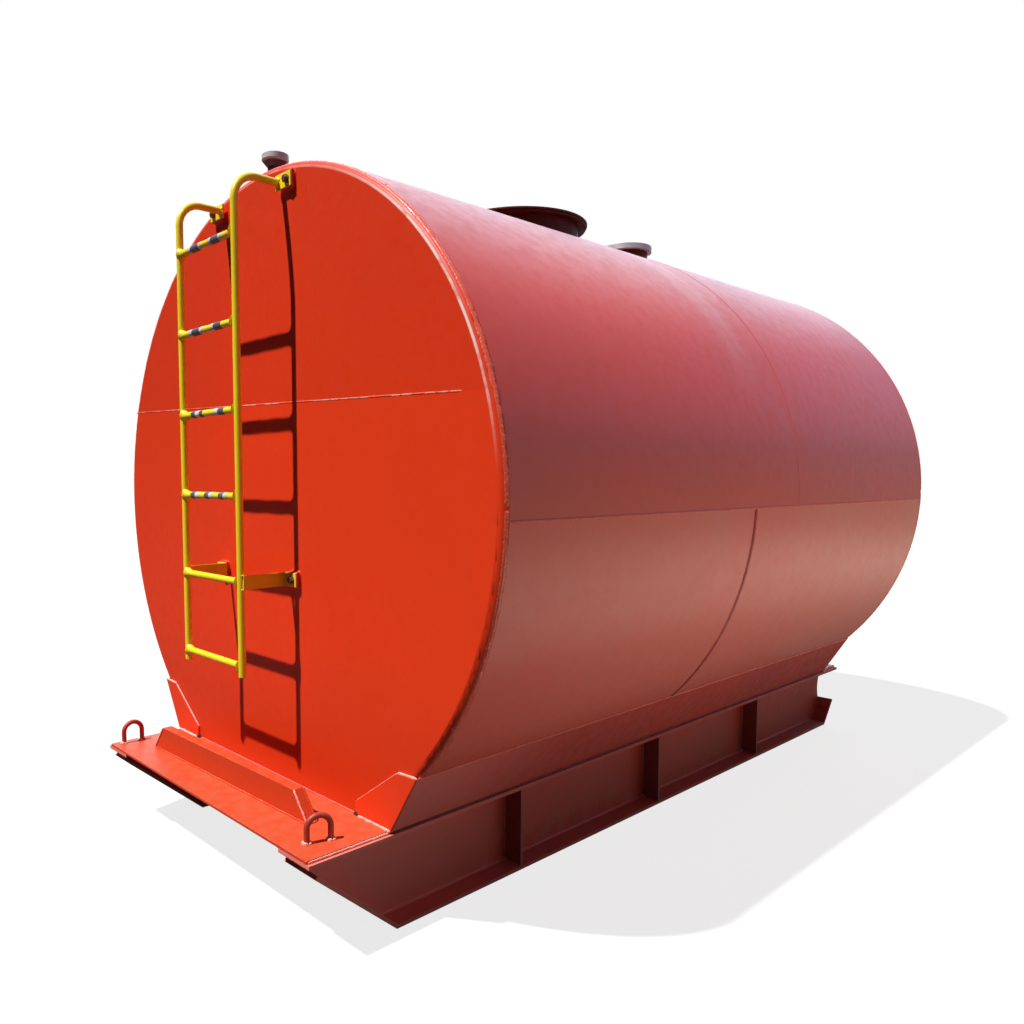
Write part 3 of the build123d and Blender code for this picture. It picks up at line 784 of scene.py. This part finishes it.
def step_point(along, across, height):
    """A point on the step bar, measured along and across it from its middle."""
    spot = Vector((step_centre.x, step_centre.y, height))
    return spot + step_along * along + step_across * across


step_welds = Builder()
step_ends = Builder()
for outward in (-1, 1):
    edge = outward * step_half_depth
    left_foot = step_point(-step_half_length, edge, deck_top)
    right_foot = step_point(step_half_length, edge, deck_top)
    foot_line = line(left_foot, right_foot, step_across * outward + z_axis)
    step_welds.bead(foot_line, "step_side", seed=70 + outward)
    for side in (-1, 1):
        foot = step_point(side * step_half_length, edge, deck_top)
        top = step_point(side * (step_half_length - step_end_run), edge, step_high.z)
        slope = line(foot, top, step_along * side + step_across * outward + Vector((0, 0, 0.6)))
        builder = step_ends if outward < 0 else step_welds
        builder.bead(slope, "step_slope", seed=75 + side)
for side in (-1, 1):
    front_foot = step_point(side * step_half_length, -step_half_depth, deck_top)
    back_foot = step_point(side * step_half_length, step_half_depth, deck_top)
    step_welds.bead(line(front_foot, back_foot, step_along * side + z_axis), "step_toe", seed=80 + side)
step_welds.piece("step_welds", "step", "skid_paint")
step_ends.piece("step_end_welds", "pale_weld_highlight", "skid_paint")

# Welds round the feet of the lifting lugs
lugs = Builder()
for corner in ("front_left", "front_right", "rear_left", "rear_right"):
    low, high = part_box(corner + "_lifting_lug")
    middle = (low + high) / 2
    turn = -math.copysign(right_lug_turn, middle.y) if middle.x > 0 else 0.0
    span = Vector((math.sin(turn), math.cos(turn), 0.0)) * lug_half_span
    for shift in (-span, span):
        centre = Vector((middle.x, middle.y, deck_top)) + shift
        seed = 90 + shift.y * 10 + middle.y
        lugs.bead(collar(centre, lug_bar / 2, y_axis, z_axis, count=24), "lug", seed, fine_bead_pitch)
lugs.piece("lug_welds", "pale_weld_highlight", "skid_paint")

# Painted shade in the drain notches of the gussets: dark discs where the notches lie in shadow
notch_shade = Builder()
notch_shade_gap = 0.001
notch_shade_lift = 0.0005
notch_shade_x = gusset_lower_x + gusset_notch * 0.2
notch_shade_profile = [(gusset_notch * 1.05, 0.0), (gusset_notch * 1.0, 0.008), (gusset_notch * 0.5, 0.0095)]
for face_y, outward in tank_ends:
    for side in (1, -1):
        spot = (side * notch_shade_x, face_y + outward * notch_shade_gap, deck_top + notch_shade_lift)
        turn = Matrix.Rotation(-outward * math.pi / 2, 4, "X")
        notch_shade.lathe(notch_shade_profile, turned_sides, Matrix.Translation(spot) @ turn)
notch_shade.piece("drain_notch_shade", "notch_shade", "skid_paint")

# Welds of the web stiffeners and the nose plates
nose_weld_drop = 0.001
skid = Builder()
for sign, node in ((1, "right_web_stiffeners"), (-1, "left_web_stiffeners")):
    low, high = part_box(node)
    first = low.y + stiffener_half
    pitch = (high.y - low.y - 2 * stiffener_half) / (stiffener_count - 1)
    web_x = sign * (beam_centre + beam_web / 2)
    edge_x = sign * beam_high.x
    for index in range(stiffener_count):
        for face in (-1, 1):
            face_y = first + index * pitch + face * stiffener_half
            seed = 100 + index * 2 + face + sign
            web_foot = (web_x, face_y, low.z + stiffener_snipe)
            web_top = (web_x, face_y, high.z - stiffener_snipe)
            skid.bead(line(web_foot, web_top, (sign, face, 0)), "stiffener", seed)
            for edge_z, up in ((low.z, 1), (high.z, -1)):
                inner = (web_x + sign * stiffener_snipe, face_y, edge_z)
                skid.bead(line(inner, (edge_x, face_y, edge_z), (0, face, up)), "stiffener", seed + 8)
for sign, side in ((1, "right"), (-1, "left")):
    for end, toward in (("front", -1), ("rear", 1)):
        low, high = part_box(f"{side}_{end}_nose_plate")
        foot_y = high.y if toward < 0 else low.y
        plate_run = high.y - low.y
        slope = math.atan2(high.z, plate_run)
        tip_y = foot_y + toward * (plate_run - beam_flange * math.sin(slope))
        for face in (-1, 1):
            face_x = sign * beam_centre + face * beam_web / 2
            nose_line = line((face_x, foot_y, beam_flange), (face_x, tip_y, high.z - nose_weld_drop),
                             (face, -toward * 0.3, 1))
            skid.bead(nose_line, "nose", seed=130 + face + sign)
skid.piece("skid_welds", "skid", "skid_paint")

# Welds where the necks stand on the shell
necks = Builder()
for node, size, seed, pitch in (("manhole_neck", "manhole", 150, bead_pitch),
                                ("nozzle_neck", "nozzle", 151, bead_pitch),
                                ("vent_nipple", "vent", 152, fine_bead_pitch)):
    low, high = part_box(node)
    middle = (low + high) / 2
    necks.bead(saddle(middle.x, middle.y, (high.x - low.x) / 2), size, seed, pitch)
necks.piece("neck_welds", "weld", "fitting_paint")

# Ladder: where its rails stand, and which way is outboard
rail_x = {}
rail_radius = {}
rail_top = {}
for side in ("left", "right"):
    low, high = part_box(f"{side}_ladder_rail")
    rail_x[side] = (low.x + high.x) / 2
    rail_radius[side] = (high.x - low.x) / 2
    rail_top[side] = high.z
outboard = {"left": -1, "right": 1}
rung_pitch = (rung_high.z - rung_low.z - 2 * rung_radius) / (rung_count - 1)
rung_heights = [rung_high.z - rung_radius - index * rung_pitch for index in range(rung_count)]

# Rung ends that flare out to the rails
flare_rows = 9
flare_seat = 0.72
flare_skin = 0.0005
flare_squash = 0.86
flare_step = 0.0042
flare_rise = 0.0125
flare_fade = 0.42
flares = Builder()
for height in rung_heights:
    for side in ("left", "right"):
        turn = Matrix.Rotation(-outboard[side] * math.pi / 2, 4, "Y")
        place = Matrix.Translation((rail_x[side], ladder_y, height)) @ turn
        profile = []
        for row in range(flare_rows):
            flare_radius = rung_radius + flare_skin + flare_rise * math.exp(-row * flare_fade)
            profile.append((flare_radius, rail_radius[side] * flare_seat + row * flare_step))
        flares.lathe(profile, turned_sides, place, stretch=(1.0, flare_squash))
flares.piece("rung_end_welds", "ladder", "ladder_paint", sharp_angle=60.0)

# Welds of the foot plates and the stays
stay_weld_front = 0.006
stay_weld_rear = 0.012
feet = Builder()
for side in ("left", "right"):
    plate_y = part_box(f"{side}_ladder_foot_plate")[0].y
    centre = Vector((rail_x[side], plate_y, rail_top[side] - rail_radius[side]))
    rail_collar = collar(centre, rail_radius[side], z_axis, -y_axis, count=28)
    feet.bead(rail_collar, "ladder_foot", seed=160, pitch=fine_bead_pitch)
    stay_low, stay_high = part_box(f"{side}_ladder_stay")
    seat_x = rail_x[side] + outboard[side] * rail_radius[side]
    for edge_z, up in ((stay_low.z, -1), (stay_high.z, 1)):
        front_end = (seat_x, ladder_y - stay_weld_front, edge_z)
        rear_end = (seat_x, ladder_y + stay_weld_rear, edge_z)
        stay_line = line(front_end, rear_end, (outboard[side], 0, up))
        feet.bead(stay_line, "ladder_stay", seed=163)
feet.piece("ladder_foot_welds", "ladder", "ladder_paint")

# Welds round the pads on the head
pads = Builder()
for side in ("left", "right"):
    for level in ("upper", "lower"):
        low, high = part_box(f"{side}_{level}_head_pad")
        corners = [(low.x, low.z), (high.x, low.z), (high.x, high.z), (low.x, high.z), (low.x, low.z)]
        centre_x = (low.x + high.x) / 2
        centre_z = (low.z + high.z) / 2
        for (start_x, start_z), (finish_x, finish_z) in zip(corners, corners[1:]):
            middle = Vector(((start_x + finish_x) / 2 - centre_x, 0.0, (start_z + finish_z) / 2 - centre_z))
            edge_line = line((start_x, front_face, start_z), (finish_x, front_face, finish_z),
                             middle.normalized() - y_axis)
            pads.bead(edge_line, "ladder_pad", seed=170)
pads.piece("pad_welds", "plate", "tank_paint")


def bolt(builder, place, across_flats=0.024, head=0.010, washer=0.003):
    """Washer and chamfered hexagon head, standing on the local Z of place."""
    round_radius = across_flats * 0.64
    corner = across_flats / math.sqrt(3)
    washer_profile = [(round_radius, 0.0), (round_radius, washer * 0.7), (round_radius * 0.95, washer)]
    head_profile = [(corner, washer * 0.9), (corner, washer + head * 0.82), (corner * 0.86, washer + head)]
    builder.lathe(washer_profile, 28, place)
    builder.lathe(head_profile, 6, place)


bolt_outset = 0.004
bolts = Builder()
bolt_turn = Matrix.Rotation(math.pi / 2, 4, "X")
for side in ("left", "right"):
    pad_low, pad_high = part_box(f"{side}_upper_head_pad")
    bolt_x = (pad_low.x + pad_high.x) / 2 + outboard[side] * bolt_outset
    plate_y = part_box(f"{side}_ladder_foot_plate")[0].y
    for node in (f"{side}_ladder_foot_plate", f"{side}_ladder_stay"):
        low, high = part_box(node)
        bolt(bolts, Matrix.Translation((bolt_x, plate_y, (low.z + high.z) / 2)) @ bolt_turn)
bolts.piece("ladder_bolts", "bolt", "ladder_paint", sharp_angle=25.0)

# Taped rungs: for each rung from the top, the share of its length where a block starts and ends
tape_blocks = (
    ((0.20, 0.26, "pale"), (0.26, 0.40, "dark"), (0.40, 0.45, "pale"),
     (0.58, 0.63, "pale"), (0.63, 0.76, "dark"), (0.76, 0.82, "pale")),
    ((0.18, 0.25, "pale"), (0.25, 0.39, "dark"), (0.39, 0.46, "pale"),
     (0.60, 0.65, "pale"), (0.65, 0.78, "dark")),
    ((0.20, 0.28, "dark"), (0.28, 0.36, "pale"), (0.36, 0.42, "dark"),
     (0.62, 0.70, "pale"), (0.70, 0.80, "dark")),
    ((0.16, 0.24, "dark"), (0.24, 0.32, "pale"), (0.42, 0.50, "dark"),
     (0.50, 0.58, "pale"), (0.68, 0.76, "dark"), (0.76, 0.82, "pale")),
)
tape_under = rung_radius - 0.0002
tape_skin = rung_radius + 0.0008
tape_swell = 0.0002
tape_edge = 0.0005
tapes = {"dark": Builder(), "pale": Builder()}
rung_length = rail_x["right"] - rail_x["left"]
tape_turn = Matrix.Rotation(math.pi / 2, 4, "Y")
for height, blocks in zip(rung_heights, tape_blocks):
    for start, finish, tone in blocks:
        place = Matrix.Translation((rail_x["left"] + rung_length * start, ladder_y, height)) @ tape_turn
        length = rung_length * (finish - start)
        profile = [(tape_under, 0.0), (tape_skin, tape_edge), (tape_skin + tape_swell, length / 2),
                   (tape_skin, length - tape_edge), (tape_under, length)]
        tapes[tone].lathe(profile, turned_sides, place)
tapes["dark"].piece("rung_tape_dark", "tape_dark", "ladder_paint", sharp_angle=60.0)
tapes["pale"].piece("rung_tape_pale", "tape_pale", "ladder_paint", sharp_angle=60.0)


def studio_floor():
    """A floor that is white to the camera, keeps the shadow and throws little light back."""
    half = 40.0
    level = -0.001
    lit_to_camera = 0.17
    lit_to_others = 0.035
    glow = 0.80
    mirrored_share = 0.25
    mesh = bpy.data.meshes.new("studio_floor")
    corners = [(-half, -half, level), (half, -half, level), (half, half, level), (-half, half, level)]
    mesh.from_pydata(corners, [], [(0, 1, 2, 3)])
    material = bpy.data.materials.new("studio_floor")
    material.use_nodes = True
    mesh.materials.append(material)
    kit = NodeKit(material.node_tree)
    path = kit.nodes.new("ShaderNodeLightPath")
    mirrored = kit.product(path.outputs["Is Glossy Ray"], mirrored_share)
    seen = kit.combine("MAXIMUM", path.outputs["Is Camera Ray"], mirrored)
    tone = kit.ramp(path.outputs["Is Camera Ray"], 0.0, 1.0, lit_to_others, lit_to_camera, "LINEAR")
    surface = kit.nodes["Principled BSDF"]
    surface.inputs["Roughness"].default_value = 0.9
    surface.inputs["Specular IOR Level"].default_value = 0.0
    surface.inputs["Emission Color"].default_value = (1.0, 1.0, 1.0, 1.0)
    kit.links.new(tone, surface.inputs["Base Color"])
    kit.links.new(kit.product(seen, glow), surface.inputs["Emission Strength"])
    plane = bpy.data.objects.new("studio_floor", mesh)
    bpy.context.scene.collection.objects.link(plane)
    return plane


floor = studio_floor()


def studio_world():
    """White to the camera, with a backdrop behind the tank that only the gloss of the paint shows."""
    toward_backdrop = (0.1, 0.85, 0.5)
    horizon_colour = (0.44, 0.38, 0.33)
    sky_colour = (0.52, 0.68, 1.06)
    white = (1.0, 1.0, 1.0)
    ambient = 0.015
    world = bpy.data.worlds.new("studio")
    world.use_nodes = True
    kit = NodeKit(world.node_tree)
    path = kit.nodes.new("ShaderNodeLightPath")
    direction = kit.nodes.new("ShaderNodeTexCoord").outputs["Generated"]
    backdrop = kit.ramp(kit.dot(direction, toward_backdrop), -0.35, 0.75, 0.05, 0.95)
    mirrored = kit.product(path.outputs["Is Glossy Ray"], backdrop)
    shown = kit.combine("MAXIMUM", path.outputs["Is Camera Ray"], mirrored)
    height = kit.ramp(kit.axis(direction, "Z"), 0.02, 0.26, interpolation="LINEAR")
    sky = kit.mix(height, horizon_colour, sky_colour)
    background = kit.nodes["Background"]
    kit.links.new(kit.combine("MAXIMUM", shown, ambient), background.inputs["Strength"])
    kit.links.new(kit.mix(path.outputs["Is Camera Ray"], sky, white), background.inputs["Color"])
    return world


bpy.context.scene.world = studio_world()


def sun(name, toward_light, energy, spread):
    """A distant lamp; toward_light points from the tank to the lamp, and spread is in degrees."""
    lamp = bpy.data.lights.new(name, "SUN")
    lamp.energy = energy
    lamp.angle = math.radians(spread)
    holder = bpy.data.objects.new(name, lamp)
    bpy.context.scene.collection.objects.link(holder)
    holder.rotation_euler = Vector(toward_light).to_track_quat("Z", "Y").to_euler()


# Light: a key from the ladder end, soft fills from the sides, and light thrown up by pale ground
sun("key_light", (-0.285, -1.0, 1.76), energy=5.3, spread=1.0)
sun("side_fill", (1.0, 0.3, 0.05), energy=0.3, spread=50.0)
sun("back_fill", (-0.8, 1.0, 0.5), energy=1.5, spread=60.0)

board = bpy.data.lights.new("floor_bounce", "AREA")
board.shape = "RECTANGLE"
board.size = 3.6
board.size_y = 8.6
board.energy = 125.0
board.color = (1.0, 0.86, 0.73)
board_holder = bpy.data.objects.new("floor_bounce", board)
bpy.context.scene.collection.objects.link(board_holder)
board_holder.location = (3.5, 2.7, 0.02)
board_holder.rotation_euler = (math.pi, 0.0, 0.0)
board_holder.visible_camera = False

# Camera at the photograph's viewpoint
camera_data = bpy.data.cameras.new("photo_camera")
camera = bpy.data.objects.new("photo_camera", camera_data)
bpy.context.scene.collection.objects.link(camera)
camera_data.sensor_width = 36.0
camera_data.lens = 28.913
camera_data.shift_x = 0.1096
camera_data.shift_y = 0.0266
camera_place = Matrix.Translation((2.67636, -3.2411, axis_z + 0.08124))
camera_turn = Matrix.Rotation(math.radians(48.891), 4, "Z")
camera_tip = Matrix.Rotation(math.radians(90.0 - 4.239), 4, "X")
camera_roll = Matrix.Rotation(math.radians(-0.217), 4, "Z")
camera.matrix_world = camera_place @ camera_turn @ camera_tip @ camera_roll
bpy.context.scene.camera = camera
bpy.context.scene.view_settings.view_transform = "Standard"
